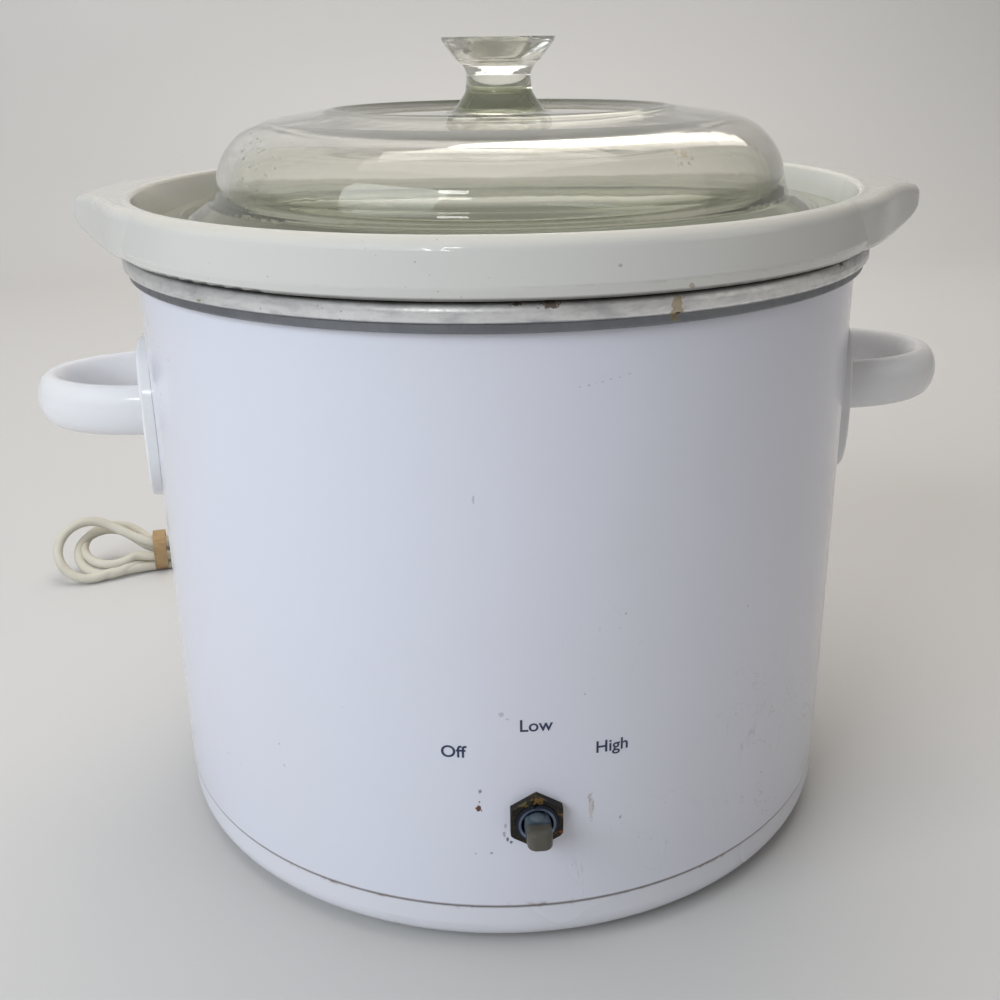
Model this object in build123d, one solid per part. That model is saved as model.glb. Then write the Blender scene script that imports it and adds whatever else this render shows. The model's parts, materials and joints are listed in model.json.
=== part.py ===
from build123d import *
import os
from math import cos, hypot, pi, radians, sin, sqrt, tan

# A round slow cooker: a painted steel wrap on a moulded base, an aluminium heating well with a
# band heater round it, a lift-out stoneware crock and a one-piece glass lid.
# Millimetres. The origin is on the table under the middle of the cooker, +Z is up, the switch
# faces -Y and the handles stand out along X.

# general clearances
seat_gap = 0.3  # between pieces that lift apart
fit_gap = 0.05  # between fixed pieces that fit round each other

# moulded base
foot_lift = 2.4  # table to the base's rolled edge
base_wall = 2.4
base_edge_width = 7.0  # flat ring under the rolled edge
base_round = 7.0
floor_rise = 4.6  # how far the floor is set up from the rolled edge
lip_inset = 0.4  # the lip stands in from the wrap
spigot_height = 8.0
hub_radius = 9.0
hub_height = 6.5
rib_count = 8
rib_thickness = 1.8
rib_height = 5.0
vent_width = 4.0
vent_length = 24.0
vent_centre = 56.0

# feet
foot_radius = 9.5
foot_taper = 1.5
foot_inset = 28.6  # middle of a foot in from the base's lip
foot_stem = 3.0
foot_barb = 1.2
foot_barb_height = 3.5

# painted wrap
shell_radius = 112.0
shell_wall = 0.8
shell_foot = 16.0  # height of its lower edge
seam_lap = 7.0
seam_step = 0.5

# heating well with its rolled band
well_room = 9.0  # between the wrap's outside and the well
well_wall = 0.8
well_floor = 58.0
well_corner = 14.0
flange_top = 189.2
band_overhang = 3.8  # band beyond the wrap
band_roll = 4.8  # height of the upper roll
band_hem = 3.0  # height of the hem below it
hem_inset = 1.4

# band heater and its clamp
heater_thickness = 1.8
heater_low = 76.0
heater_height = 58.0
heater_split = 9.0
heater_angle = 130.0  # where its ends meet, round from +X
lug_thickness = 1.2
lug_reach = 4.6
lug_height = 14.0
bolt_radius = 1.4
clamp_across_flats = 5.0
clamp_nut = 2.4
tab_width = 6.3
tab_height = 10.0
tab_thickness = 0.8

# stud that ties the well to the base
stud_radius = 3.0
stud_nut_across_flats = 10.0
stud_nut_height = 3.6
stud_washer_radius = 7.5
stud_washer_thickness = 1.2
stud_tail = 0.8

# handles
handle_reach = 38.3  # loop beyond the wrap
handle_half_width = 28.0
loop_rise = 6.7  # middle of the loop above the plate's
loop_height = 16.0  # of its oval section
loop_thickness = 9.6
plate_thickness = 3.6
plate_height = 52.0
plate_width = 57.0
plate_middle = 132.6
plate_edge = 1.2
plate_corner = 21.0
handle_boss = 4.0
handle_boss_spacing = 30.0
screw_radius = 1.6
screw_length = 4.6
screw_head_radius = 5.6
screw_head = 1.9

# switch
switch_height = 45.7
switch_width = 19.0
switch_tall = 17.0
switch_deep = 20.0
bushing_radius = 5.95
bushing_reach = 5.6  # beyond the wrap
bushing_bore = 4.3
keyway_width = 1.7
keyway_depth = 0.9
nut_across_flats = 14.29
nut_thickness = 2.6
nut_chamfer = 1.0
washer_radius = 8.6
washer_thickness = 0.9
pivot_depth = 2.2  # lever's ball behind the bushing's mouth
lever_width = 5.8
lever_thickness = 3.8
lever_edge = 1.1
lever_reach = 6.0  # paddle beyond the bushing
lever_tail = 8.0
ball_length = 5.2  # the ball is flat before and behind
lever_tail_radius = 1.3
lever_swing = 13.0
terminal_spacing = 6.0
terminal_width = 4.8
terminal_thickness = 0.8
terminal_length = 7.0
lead_radius = 1.3
heater_lead_out = (9.0, 12.0)  # behind the terminal
heater_lead_aside = 18.0
heater_lead_sag = 3.0
heater_lead_turn = (16.0, 7.0)  # short of the place where it rises
heater_lead_bends = [4.0, 8.0, 8.0, 6.0]
lead_under_well = 8.0
tab_rise = 3.0  # tabs above the heater's lower edge
line_lead_out = (18.0, 20.0)  # straight run at the relief and at the terminal
line_lead_run = (66.0, 74.0)  # ends of its run across the floor, in from the wrap
line_lead_aside = 24.0
line_lead_drop = (7.0, 5.0)
line_lead_bends = [8.0, 14.0, 14.0, 6.0]
neutral_lead_out = (10.0, 12.0)
neutral_lead_aside = 16.0
neutral_lead_rise = 6.0
neutral_lead_bends = [4.0, 4.0, 5.0]
relief_depth = 6.0  # of its head inside the wrap

# strain relief and cord
relief_flange = 8.2
relief_flange_thickness = 2.2
relief_neck = 6.2
relief_inner = 9.0
relief_reach = 13.6  # beyond the wrap
cord_radius = 2.3
relief_tip = 3.6

# crock
crock_turn = -5.0  # how it happens to stand in the base, degrees
crock_wall = 5.2
crock_clearance = 3.2  # to the well's wall at the top
crock_draft = 5.0  # narrowing of the wall towards the bottom
crock_floor_gap = 1.4
crock_corner = 13.0
foot_ring_width = 9.0
foot_ring_depth = 2.2
rim_height = 14.8
rim_overhang = 1.9  # rim beyond the band
rim_upper_inset = 1.6
rim_width = 4.5  # across its top
ledge_draft = 2.4  # slope of the wall down to the ledge
ledge_depth = 11.2
ledge_width = 10.8
ear_reach = 17.0  # beyond the rim
ear_spread = 37.0  # where its flanks leave the rim, degrees from its middle
ear_flank = [(-10.2, 51.0), (-2.2, 36.5), (4.3, 24.5), (9.8, 15.6), (14.2, 9.0)]  # from the rim
ear_droop = [(0.48, 0.7), (0.8, 1.9), (1.0, 3.2), (1.3, 5.2)]  # top, over the reach
ear_under = [(0.25, 0.6), (0.55, 1.8), (0.83, 4.1), (1.0, 5.8), (1.3, 8.4)]  # underside
ear_top_round = 3.2
ear_low_round = 1.8

# lid
lid_shift = 1.6  # how it happens to lie on the ledge, towards the right ear
lid_clearance = 2.2  # to the wall round the ledge
lid_edge = 3.0
lid_glass = 4.0
lid_flange = 18.6  # from the dome to the edge
dome_height = 33.7  # above the lid's seat
dome_shoulder = 20.0
crown_width = 40.2  # from the dome's side to the recess
recess_depth = 1.9
knob_radius = 17.6
knob_height = 22.2  # above the recess
knob_neck = 9.9

# derived places
shell_inner = shell_radius - shell_wall
well_radius = shell_radius - well_room
shell_head = flange_top - well_wall
lip_radius = shell_radius - lip_inset
floor_low = foot_lift + floor_rise
floor_top = floor_low + base_wall
foot_circle = lip_radius - foot_inset
cord_height = shell_foot + spigot_height + relief_inner  # the relief just clears the spigot
handle_height = plate_middle + loop_rise
band_radius = shell_radius + band_overhang
rim_lower_radius = band_radius + rim_overhang
rim_inner_radius = rim_lower_radius - rim_upper_inset - rim_width
ledge_radius = rim_inner_radius - ledge_draft
lid_radius = ledge_radius - lid_clearance
dome_radius = lid_radius - lid_flange
recess_radius = dome_radius - crown_width
crock_seat = flange_top + seat_gap
rim_top = crock_seat + rim_height
ledge = rim_top - ledge_depth
lid_seat = ledge + seat_gap
recess = lid_seat + dome_height - recess_depth
mouth = -(shell_radius + bushing_reach)  # the bushing's open end
pivot = mouth + pivot_depth


def turned(*corners):
    """A ring or disc turned about the Z axis from (radius, height, rounding) corners."""
    points = [(radius, height) for radius, height, rounding in corners]
    roundings = [rounding for radius, height, rounding in corners]
    outline = FilletPolyline(*points, radius=roundings, close=True)
    return revolve(Plane.XZ * make_face(outline), axis=Axis.Z)


def upright(radius, low, high, x=0.0, y=0.0):
    """A vertical cylinder between two heights."""
    return Pos(x, y, low) * extrude(Circle(radius), amount=high - low)


def along_y(radius, start, end, height, x=0.0):
    """A cylinder along Y at one height."""
    place = Plane(origin=(x, start, height), z_dir=(0, 1 if end > start else -1, 0))
    return extrude(place * Circle(radius), amount=abs(end - start))


def tube(points, radii, radius):
    """A round lead or cord along straight runs joined by tangent arcs."""
    path = FilletPolyline(*points, radius=radii)
    section = Plane(origin=path @ 0, z_dir=path % 0) * Circle(radius)
    return sweep(section, path=path)


def easy_radii(points):
    """The largest arcs that the runs of a route leave room for."""
    radii = []
    for before, here, after in zip(points, points[1:], points[2:]):
        inward = Vector(*here) - Vector(*before)
        outward = Vector(*after) - Vector(*here)
        turn = radians(inward.get_angle(outward))
        radii.append(0.45 * min(inward.length, outward.length) / tan(turn / 2))
    return radii


def polar(radius, angle, height=0.0):
    return (radius * cos(radians(angle)), radius * sin(radians(angle)), height)


# ---------------------------------------------------------------- base
def base_pan():
    inner = lip_radius - base_wall
    spigot = shell_inner - fit_gap
    edge_inner = lip_radius - base_round - base_edge_width
    pan = turned(
        (stud_radius + seat_gap, floor_low, 0),
        (edge_inner - floor_rise, floor_low, 2.0),
        (edge_inner, foot_lift, 2.0),
        (lip_radius, foot_lift, base_round),
        (lip_radius, shell_foot, 0),
        (spigot, shell_foot, 0),
        (spigot, shell_foot + spigot_height, 0.8),
        (spigot - base_wall, shell_foot + spigot_height, 0.8),
        (spigot - base_wall, foot_lift + base_wall, base_round - base_wall),
        (edge_inner + base_wall, foot_lift + base_wall, 1.0),
        (edge_inner - floor_rise + 1.5, floor_top, 2.0),
        (stud_radius + seat_gap, floor_top, 0),
    )
    hub = upright(hub_radius, floor_low, floor_top + hub_height)
    hub -= upright(stud_radius + seat_gap, floor_low, floor_top + hub_height)
    rib_end = edge_inner - floor_rise - 2.0
    rib_run = rib_end - hub_radius + 1.0
    rib = Pos(hub_radius - 1.0 + rib_run / 2, 0, floor_top + rib_height / 2)
    rib *= Box(rib_run, rib_thickness, rib_height)
    slot = Pos(vent_centre, 0, floor_low + base_wall / 2)
    slot *= extrude(SlotOverall(vent_length, vent_width), amount=base_wall, both=True)
    for index in range(rib_count):
        turn = Rot(0, 0, 360 / rib_count * index)
        pan += turn * rib
        between = Rot(0, 0, 360 / rib_count * (index + 0.5))
        for swing in (-11, 0, 11):
            pan -= between * Rot(0, 0, swing) * slot
    pan += hub
    for angle in foot_angles.values():
        x, y, _ = polar(foot_circle, angle)
        pan += upright(foot_stem + 3.0, floor_low, floor_top + 0.8, x, y)
        pan -= upright(foot_stem + fit_gap, floor_low, floor_top + 0.8, x, y)
    return pan


foot_angles = {
    "foot_front_left": 236.0,
    "foot_front_right": 304.0,
    "foot_rear_right": 56.0,
    "foot_rear_left": 124.0,
}


def foot(angle):
    boss_top = floor_top + 0.8
    barb = foot_stem + foot_barb
    shape = turned(
        (0, 0, 0),
        (foot_radius - foot_taper, 0, 0.8),
        (foot_radius, floor_low, 0),
        (foot_stem, floor_low, 0),
        (foot_stem, boss_top, 0),
        (barb, boss_top, 0),
        (foot_stem - 0.8, boss_top + foot_barb_height, 0.6),
        (0, boss_top + foot_barb_height, 0),
    )
    return Pos(*polar(foot_circle, angle)) * shape


# ---------------------------------------------------------------- wrap and well
def outer_shell():
    wrap = upright(shell_radius, shell_foot, shell_head)
    wrap -= upright(shell_inner, shell_foot, shell_head)
    lap = upright(shell_inner, shell_foot + spigot_height + 1.0, shell_head - 8.0)
    lap -= upright(shell_inner - seam_step, shell_foot, shell_head)
    middle = (shell_foot + shell_head) / 2
    lap &= Pos(0, shell_inner, middle) * Box(seam_lap, 6.0, shell_head - shell_foot)
    relief_hole = along_y(relief_neck + fit_gap, 0, shell_radius + 5, cord_height)
    wrap += lap - along_y(relief_inner + 1.0, 0, shell_radius + 5, cord_height)
    wrap -= relief_hole
    wrap -= along_y(bushing_radius + fit_gap, 0, -shell_radius - 5, switch_height)
    for side in (-1, 1):
        for height in boss_heights():
            place = Plane(origin=(0, 0, height), z_dir=(side, 0, 0))
            wrap -= extrude(place * Circle(handle_boss + fit_gap), amount=shell_radius + 5)
    return wrap


def boss_heights():
    return [plate_middle + side * handle_boss_spacing / 2 for side in (-1, 1)]


def heating_well():
    inside = well_radius - well_wall
    low = flange_top - band_roll
    hem_radius = band_radius - hem_inset
    hem_low = low - band_hem
    hem_inner = shell_radius + 0.6
    wall = well_wall
    return turned(
        (0, well_floor + wall, 0),
        (inside, well_floor + wall, well_corner - wall),
        (inside, flange_top, 2.6),
        (band_radius, flange_top, 2.8),
        (band_radius, low, 0.9),
        (hem_radius, low - 0.7, 0.3),
        (hem_radius, hem_low, 0.7),
        (hem_inner, hem_low, 0),
        (hem_inner, hem_low + wall, 0),
        (hem_radius - wall, hem_low + wall, 0.2),
        (hem_radius - wall, low - 0.2, 0.2),
        (band_radius - wall, low + 0.6, 0.5),
        (band_radius - wall, flange_top - wall, 2.0),
        (well_radius, flange_top - wall, 1.8),
        (well_radius, well_floor, well_corner),
        (0, well_floor, 0),
    )


def heater_band():
    inner = well_radius + fit_gap
    outer = inner + heater_thickness
    top = heater_low + heater_height
    band = upright(outer, heater_low, top) - upright(inner, heater_low, top)
    band -= Pos((inner + outer) / 2, 0, heater_low + heater_height / 2) * Box(
        12.0, heater_split, heater_height + 2
    )
    for side in (-1, 1):
        reach = heater_thickness / 2 + lug_reach
        lug = Pos(inner + heater_thickness / 2 + reach / 2, side * (heater_split - lug_thickness) / 2, 0)
        lug *= Pos(0, 0, clamp_height()) * Box(reach, lug_thickness, lug_height)
        band += lug
        foot_block = Pos(inner + heater_thickness / 2, side * heater_split / 2, clamp_height())
        band += foot_block * Box(heater_thickness * 0.8, lug_thickness * 1.6, lug_height)
        hole = Plane(origin=(clamp_radius(), 0, clamp_height()), z_dir=(0, 1, 0))
        band -= extrude(hole * Circle(bolt_radius + fit_gap), amount=heater_split, both=True)
    return Rot(0, 0, heater_angle) * band


def clamp_height():
    return heater_low + heater_height / 2


def clamp_radius():
    return well_radius + heater_thickness + lug_reach / 2 + 0.6


def hexagon(across_flats, thickness, bore=0.0):
    shape = extrude(RegularPolygon(across_flats / 2, 6, major_radius=False), amount=thickness)
    if bore:
        shape -= extrude(Circle(bore), amount=thickness)
    return shape


def heater_clamp():
    half = heater_split / 2
    place = Plane(origin=(clamp_radius(), -half - clamp_nut, clamp_height()), z_dir=(0, 1, 0))
    shank = extrude(place * Circle(bolt_radius), amount=2 * half + 2 * clamp_nut + 1.0)
    head = place * hexagon(clamp_across_flats, clamp_nut)
    nut_place = Plane(origin=(clamp_radius(), half, clamp_height()), z_dir=(0, 1, 0))
    nut = nut_place * hexagon(clamp_across_flats, clamp_nut, bolt_radius)
    turn = Rot(0, 0, heater_angle)
    return Compound([turn * (shank + head), turn * nut])


lead_angles = {"low": 236.0, "high": 304.0, "neutral": 80.0}


def heater_tabs():
    face = well_radius + fit_gap + heater_thickness
    tabs = []
    for angle in lead_angles.values():
        tab = Pos(face + (lead_radius + tab_thickness) / 2, 0, heater_low + tab_height / 2 + tab_rise)
        tab *= Box(lead_radius + tab_thickness, tab_width, tab_height)
        tab &= upright(face + lead_radius + tab_thickness, heater_low, heater_low + heater_height)
        tab -= upright(face, heater_low, heater_low + heater_height)
        tabs.append(Rot(0, 0, angle) * tab)
    return Compound(tabs)


def centre_stud():
    stud = upright(stud_radius, stud_tail, well_floor)
    return stud + upright(stud_radius + 2.5, well_floor - 1.6, well_floor)


def stud_washer():
    low = floor_low - stud_washer_thickness
    ring = upright(stud_washer_radius, low, floor_low)
    return ring - upright(stud_radius + fit_gap, low, floor_low)


def stud_nut():
    low = floor_low - stud_washer_thickness - stud_nut_height
    return Pos(0, 0, low) * hexagon(stud_nut_across_flats, stud_nut_height, stud_radius)


# ---------------------------------------------------------------- handles
def loop_ring():
    middle = loop_thickness / 2
    across = handle_half_width - middle
    path = Pos(shell_radius, 0, handle_height) * Edge.make_ellipse(handle_reach - middle, across)
    start = Plane(origin=path @ 0, x_dir=(1, 0, 0), z_dir=path % 0)
    return sweep(start * Ellipse(middle, loop_height / 2), path=path)


def handle(side):
    back = shell_radius + fit_gap
    face = back + plate_thickness
    start = shell_radius - plate_width / 2
    place = Plane(origin=(start, 0, plate_middle), x_dir=(0, 1, 0), z_dir=(1, 0, 0))
    plate = extrude(place * RectangleRounded(plate_width, plate_height, plate_corner), amount=plate_width)
    plate &= upright(face, plate_middle - plate_height, plate_middle + plate_height)
    plate -= upright(back, plate_middle - plate_height, plate_middle + plate_height)
    rim = plate.edges().filter_by(lambda edge: edge.center().X > 0 and on_cylinder(edge, face))
    plate = fillet(rim, plate_edge)
    loop = loop_ring() - upright(back + plate_thickness / 2, 0, shell_head)
    outside = Pos(shell_radius + handle_reach, 0, handle_height)
    loop &= outside * Box(2 * handle_reach, 4 * handle_half_width, 2 * loop_height)
    shape = plate + loop
    for height in boss_heights():
        out = Plane(origin=(0, 0, height), z_dir=(1, 0, 0))
        boss = extrude(out * Circle(handle_boss), amount=back + 1.0)
        boss -= upright(shell_inner - 0.25, height - 10, height + 10)
        shape += boss
        depth = Plane(origin=(shell_inner - 2.0, 0, height), z_dir=(1, 0, 0))
        shape -= extrude(depth * Circle(screw_radius), amount=screw_length + 2.0)
    if side < 0:
        shape = Rot(0, 0, 180) * shape
    return shape


def on_cylinder(edge, radius):
    return all(abs(hypot((edge @ t).X, (edge @ t).Y) - radius) < 0.01 for t in (0.1, 0.5, 0.9))


def handle_screws():
    head_face = sqrt((shell_inner - 0.25) ** 2 - screw_head_radius**2)
    screws = []
    for side in (0, 180):
        for height in boss_heights():
            out = Plane(origin=(head_face - screw_head, 0, height), z_dir=(1, 0, 0))
            head = extrude(out * Circle(screw_head_radius), amount=screw_head)
            head = fillet(head.edges().sort_by(Axis.X)[0], screw_head * 0.6)
            shank_end = shell_inner + screw_length - 0.4
            shank = extrude(out * Circle(screw_radius), amount=shank_end - head_face + screw_head)
            screws.append(Rot(0, 0, side) * (head + shank))
    return Compound(screws)


# ---------------------------------------------------------------- switch
def washer_face():
    """Where the flat washer meets the curved inside of the wrap."""
    return -sqrt(shell_inner**2 - washer_radius**2)


def switch_front():
    return washer_face() + washer_thickness


def switch_bushing():
    barrel = along_y(bushing_radius, switch_front(), mouth, switch_height)
    mouth_edge = barrel.edges().sort_by(Axis.Y)[0]
    barrel = chamfer(mouth_edge, 0.5)
    barrel -= along_y(bushing_bore, switch_front(), mouth, switch_height)
    key = Pos(0, (mouth + switch_front()) / 2, switch_height + bushing_radius)
    barrel -= key * Box(keyway_width, switch_front() - mouth + 1, 2 * keyway_depth)
    return barrel


def switch_body():
    front = switch_front()
    body = Pos(0, front + switch_deep / 2, switch_height) * Box(switch_width, switch_deep, switch_tall)
    body = fillet(body.edges().filter_by(Axis.Y), 1.2)
    pocket = pivot + lever_tail + 0.6 - front
    body -= along_y(bushing_bore, front, front + pocket, switch_height)
    groove = Pos(0, front + switch_deep * 0.55, switch_height + switch_tall / 2)
    body -= groove * Box(switch_width + 2, 1.0, 1.0)
    return body


def switch_washer():
    ring = along_y(washer_radius, washer_face(), switch_front(), switch_height)
    ring -= along_y(bushing_radius + fit_gap, washer_face() - 1, switch_front() + 1, switch_height)
    for index in range(12):
        notch = Pos(washer_radius, 0, 0) * Box(1.6, 10, 1.2)
        place = Pos(0, (washer_face() + switch_front()) / 2, switch_height)
        ring -= place * Rot(0, 30 * index, 0) * notch
    return ring


def switch_nut():
    back = -(shell_radius + fit_gap)
    place = Plane(origin=(0, back, switch_height), x_dir=(0, 0, 1), z_dir=(0, -1, 0))
    nut = hexagon(nut_across_flats, nut_thickness)
    cone_low = nut_across_flats / 2 + nut_chamfer * 1.1
    dome = Pos(0, 0, nut_thickness / 2 + 0.001)
    dome *= Cone(cone_low + nut_thickness * 0.9, cone_low - nut_thickness * 0.15, nut_thickness)
    nut &= dome
    nut -= extrude(Circle(bushing_radius + fit_gap), amount=nut_thickness)
    return place * nut


def switch_lever():
    ball = Pos(0, pivot, switch_height) * Sphere(bushing_bore - seat_gap)
    ball &= Pos(0, pivot, switch_height) * Box(2 * bushing_bore, ball_length, 2 * bushing_bore)
    tip = mouth - lever_reach
    top = Plane(origin=(0, 0, switch_height), z_dir=(0, 0, 1))
    half = lever_width / 2
    run = pivot - tip
    outline = Pos(0, pivot - run / 2) * Rectangle(lever_width, run)
    paddle = extrude(top * outline, amount=lever_thickness / 2, both=True)
    corners = paddle.edges().filter_by(Axis.Z).sort_by(Axis.Y)[0:2]
    paddle = fillet(corners, lever_width * 0.4)
    level = lever_thickness / 2 - 0.1
    outline = [edge for edge in paddle.edges() if abs(edge.center().Z - switch_height) > level]
    outline = [edge for edge in outline if edge.center().Y < pivot - 0.1]
    paddle = fillet(outline, lever_edge)
    tail = along_y(lever_tail_radius, pivot, pivot + lever_tail, switch_height)
    cheek = along_y(half * 0.9, pivot, mouth + 0.4, switch_height)
    return ball + paddle + tail + cheek


def terminal_ends():
    back = switch_front() + switch_deep
    return [(index * terminal_spacing, back + terminal_length, switch_height) for index in (-1, 0, 1)]


def switch_terminals():
    blades = []
    for x, y, z in terminal_ends():
        blade = Box(terminal_thickness, terminal_length, terminal_width)
        blades.append(Pos(x, y - terminal_length / 2, z) * blade)
    return Compound(blades)


# ---------------------------------------------------------------- leads
def heater_lead(name, end_index):
    x, y, z = terminal_ends()[end_index]
    side = -1 if x < 0 else 1
    angle = lead_angles[name]
    out = well_radius + heater_thickness + lead_radius + seat_gap + fit_gap
    foot_point = polar(out, angle, well_floor - lead_under_well)
    short, back = heater_lead_turn
    points = [
        (x, y, z),
        (x, y + heater_lead_out[0], z),
        (x + side * heater_lead_aside, y + heater_lead_out[1], z - heater_lead_sag),
        (foot_point[0] - side * short, foot_point[1] + back, z),
        foot_point,
        (foot_point[0], foot_point[1], heater_low + tab_rise),
    ]
    return tube(points, heater_lead_bends, lead_radius)


def relief_inner_face():
    return shell_inner - seat_gap - relief_depth


def lead_line():
    x, y, z = terminal_ends()[1]
    start = relief_inner_face()
    points = [
        (-cord_radius / 2, start, cord_height),
        (-cord_radius / 2, start - line_lead_out[0], cord_height),
        (-line_lead_aside, shell_radius - line_lead_run[0], cord_height - line_lead_drop[0]),
        (-line_lead_aside, line_lead_run[1] - shell_radius, cord_height - line_lead_drop[1]),
        (x, y + line_lead_out[1], z),
        (x, y, z),
    ]
    return tube(points, line_lead_bends, lead_radius * 0.85)


def lead_neutral():
    start = relief_inner_face()
    out = well_radius + heater_thickness + lead_radius + seat_gap + fit_gap
    top = polar(out, lead_angles["neutral"], heater_low + tab_rise)
    points = [
        (cord_radius / 2, start, cord_height),
        (cord_radius / 2, start - neutral_lead_out[0], cord_height),
        (neutral_lead_aside, start - neutral_lead_out[1], cord_height + neutral_lead_rise),
        (top[0], top[1], well_floor - lead_under_well + 1.0),
        top,
    ]
    return tube(points, neutral_lead_bends, lead_radius * 0.85)


# ---------------------------------------------------------------- strain relief and cord
def strain_relief():
    wall_out = shell_radius + fit_gap
    wall_in = shell_inner - seat_gap
    tip = shell_radius + relief_reach
    inner = relief_inner_face()
    profile = [
        (0, inner, 0),
        (relief_inner - 1.5, inner, 1.0),
        (relief_inner, wall_in - 0.3, 0),
        (relief_neck, wall_in - 0.3, 0),
        (relief_neck, wall_out, 0),
        (relief_flange, wall_out, 0),
        (relief_flange, wall_out + relief_flange_thickness, 0.8),
        (relief_tip + 1.4, wall_out + relief_flange_thickness, 1.0),
        (relief_tip, tip, 0.6),
        (0, tip, 0),
    ]
    shape = turned(*profile)
    shape = Pos(0, 0, cord_height) * Rot(-90, 0, 0) * shape
    for index in range(3):
        groove = wall_out + relief_flange_thickness + 2.6 + 2.8 * index
        ring = along_y(relief_flange, groove, groove + 1.1, cord_height)
        ring -= along_y(relief_tip - 0.5, groove, groove + 1.1, cord_height)
        for side in (-1, 1):
            shape -= ring & (Pos(side * 6.4, groove, cord_height) * Box(8, 6, 20))
    return shape


cord_route = [
    (0.0, shell_radius + relief_reach, cord_height),
    (0.0, shell_radius + relief_reach + 15.0, cord_height),
    (-1.5, 156.0, 21.5),
    (-9.0, 172.0, 7.6),
    (-27.0, 184.5, 2.6),
    (-50.0, 187.0, 3.0),
    (-71.0, 185.5, 4.6),
]

hank_middle = (-142.0, 172.0)
hank_turn = 10.5
hank_base = 0.4  # the lowest turn lies on the table
hank_waist = (14.0, 15.5)  # width and height under the tie
hank_tail_width = 17.0  # beside the plug
tie_place = -16.0  # along the hank
tie_width = 6.0
tie_thickness = 1.1
hank_sections = [  # place along it, width and height
    (-68.0, 16.0, 11.0),
    (-58.0, 34.0, 24.0),
    (-42.0, 34.0, 24.0),
    (tie_place, *hank_waist),
    (30.0, 16.0, 15.5),
    (56.0, hank_tail_width, 15.5),
    (66.0, 22.0, 15.0),
    (72.0, 13.0, 9.0),
]


def power_cord():
    return tube(cord_route, easy_radii(cord_route), cord_radius)


def hank_place():
    return Pos(*hank_middle, 0) * Rot(0, 0, hank_turn)


def cord_hank():
    sections = []
    for along, width, height in hank_sections:
        place = Plane(origin=(along, 0, hank_base + height / 2), x_dir=(0, 1, 0), z_dir=(1, 0, 0))
        sections.append(place * RectangleRounded(width, height, height * 0.3))
    return hank_place() * loft(sections, ruled=True)


def cord_tie():
    width, height = hank_waist
    start = Plane(origin=(tie_place - tie_width / 2, 0, 0), x_dir=(0, 1, 0), z_dir=(1, 0, 0))
    outline = RectangleRounded(width + 4 * tie_thickness, height + 2 * tie_thickness, 6.0)
    ring = extrude(start * Pos(0, hank_base + height / 2 + tie_thickness * 0.7) * outline, amount=tie_width)
    return hank_place() * ring - cord_hank()


# ---------------------------------------------------------------- crock and lid
def crock():
    inside = well_radius - well_wall
    outer_top = inside - crock_clearance
    outer_low = outer_top - crock_draft
    foot_low = well_floor + well_wall + crock_floor_gap
    inner_top = outer_top - crock_wall
    inner_low = outer_low - crock_wall
    floor = foot_low + foot_ring_depth + crock_wall
    body = turned(
        (0, foot_low + foot_ring_depth, 0),
        (outer_low - crock_corner - foot_ring_width, foot_low + foot_ring_depth, 1.0),
        (outer_low - crock_corner - foot_ring_width + 2.0, foot_low, 1.0),
        (outer_low, foot_low, crock_corner),
        (outer_top, crock_seat - 3.0, 1.5),
        (outer_top + 0.6, crock_seat, 0.4),
        (rim_lower_radius - 0.8, crock_seat, 1.4),
        (rim_lower_radius, crock_seat + 3.2, 3.0),
        (rim_lower_radius - rim_upper_inset, rim_top, 3.6),
        (rim_inner_radius, rim_top, 1.6),
        (ledge_radius, ledge, 1.6),
        (ledge_radius - ledge_width, ledge, 2.4),
        (inner_top, ledge - 5.0, 4.0),
        (inner_low, floor, crock_corner + 3.0),
        (0, floor, 0),
    )
    for side in (0, 180):
        body += Rot(0, 0, side) * ear()
    return Rot(0, 0, crock_turn) * body


def ear():
    """A grip whose flanks sweep out of the rim to a rounded nose, its top drooping a little."""
    reach = rim_lower_radius + ear_reach
    leave = radians(ear_spread)
    root = (rim_lower_radius - rim_upper_inset - 0.3) * Vector(cos(leave), sin(leave))
    flank = Spline(
        root,
        *[(rim_lower_radius + beyond, beside) for beyond, beside in ear_flank],
        (reach, 0),
        tangents=[(sin(leave), -cos(leave)), (0, -1)],
    )
    other = mirror(flank, about=Plane.XZ)
    plan = make_face(Curve() + [flank, other, Line(flank @ 0, other @ 0)])
    block = Pos(0, 0, crock_seat - 1) * extrude(plan, amount=rim_height + 2)
    start = rim_inner_radius + 2.0
    crest = rim_top - 0.2
    low = crock_seat + 0.2
    top = [(rim_lower_radius + share * ear_reach, crest - drop) for share, drop in ear_droop]
    under = [(rim_lower_radius + share * ear_reach, low + lift) for share, lift in ear_under]
    upper = Spline((rim_lower_radius - 1.0, crest), *top, tangents=[(1, 0), (1, -0.62)])
    lower = Spline((rim_lower_radius - 1.0, low), *under, tangents=[(1, 0), (1, 0.52)])
    inside = (flank @ 0).X - 1
    inner = Polyline(upper @ 0, (inside, crest), (inside, low), lower @ 0)
    profile = make_face(Curve() + [upper, inner, lower, Line(lower @ 1, upper @ 1)])
    shape = block & extrude(Plane.XZ * profile, amount=reach, both=True)
    shape -= upright(start, crock_seat - 1, rim_top + 1)
    shape = fillet(flank_edges(shape, 1), ear_top_round)
    return fillet(flank_edges(shape, -1), ear_low_round)


def flank_edges(shape, side):
    """The edges along a grip's two flanks, above its middle or below it."""
    middle = crock_seat + rim_height / 2
    curved = shape.edges().filter_by(GeomType.BSPLINE)
    return [edge for edge in curved if abs(edge.center().Y) > 1 and side * (edge.center().Z - middle) > 3]


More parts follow.
